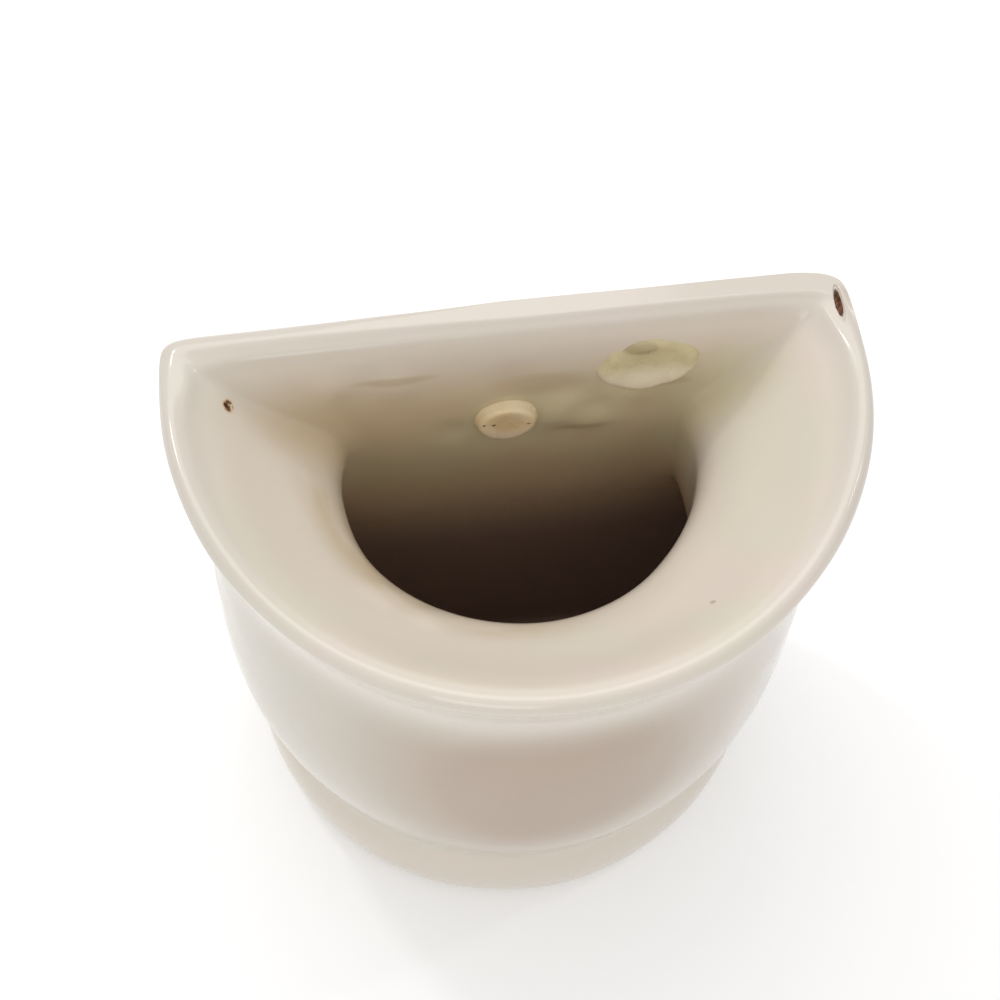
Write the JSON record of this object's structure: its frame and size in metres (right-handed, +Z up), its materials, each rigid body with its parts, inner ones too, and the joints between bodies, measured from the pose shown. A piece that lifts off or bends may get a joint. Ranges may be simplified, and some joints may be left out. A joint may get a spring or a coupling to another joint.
{
  "type": "wall planter",
  "caption": "Glazed clay wall planter with a flat back, a flared funnel lip over a half-round bowl, and a rolled foot; hangs from a blind hole or stands on its base.",
  "frame": {"origin": "mouth of the hanging hole, in the plane of the wall, in the middle of the planter's width", "axes": "+Z up, +Y into the wall that the planter hangs on, +X to the right as seen from the front"},
  "size_m": [0.165, 0.1025, 0.165],
  "materials": {
    "cream_glaze": "gloss cream glaze",
    "tan_glaze": "gloss glaze, run thin over tan clay",
    "bare_clay": "matt, unglazed under the base"
  },
  "bodies": {
    "root": {"back_slab": "cream_glaze", "flared_lip": "cream_glaze", "bowl_wall": "cream_glaze", "foot_band": "cream_glaze", "floor_slab": "bare_clay", "hanging_boss": "tan_glaze", "wall_patch": "tan_glaze"}
  },
  "joints": []
}
